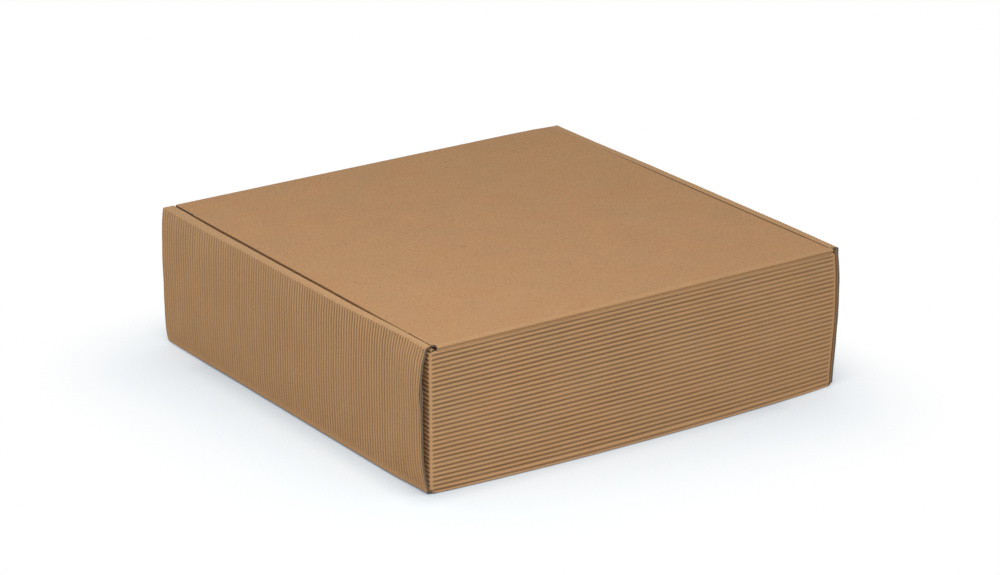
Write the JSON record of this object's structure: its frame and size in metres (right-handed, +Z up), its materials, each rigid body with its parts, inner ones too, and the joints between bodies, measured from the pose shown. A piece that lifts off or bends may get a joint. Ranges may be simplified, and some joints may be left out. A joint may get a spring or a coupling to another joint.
{
  "type": "corrugated mailing box",
  "caption": "Closed shallow, nearly square mailing box folded from one ribbed corrugated sheet, with rolled-over side walls, trapped end flaps and a hinged tuck-in lid.",
  "frame": {"origin": "centre of the underside, on the surface that the box stands on", "axes": "+Z up; X along the hinge crease, the hinge wall faces -Y and the lid's free edge is at +Y"},
  "size_m": [0.348, 0.335, 0.1015],
  "materials": {
    "tray_board": "matte ribbed kraft",
    "lid_board": "matte kraft"
  },
  "bodies": {
    "tray": {"tray": "tray_board"},
    "lid": {"lid": "lid_board"}
  },
  "joints": [
    {"name": "lid_hinge", "type": "hinge", "parent": "tray", "child": "lid", "pos_m": [0, -0.1675, 0.1015], "axis": [1, 0, 0], "range_deg": [0, 175]}
  ]
}
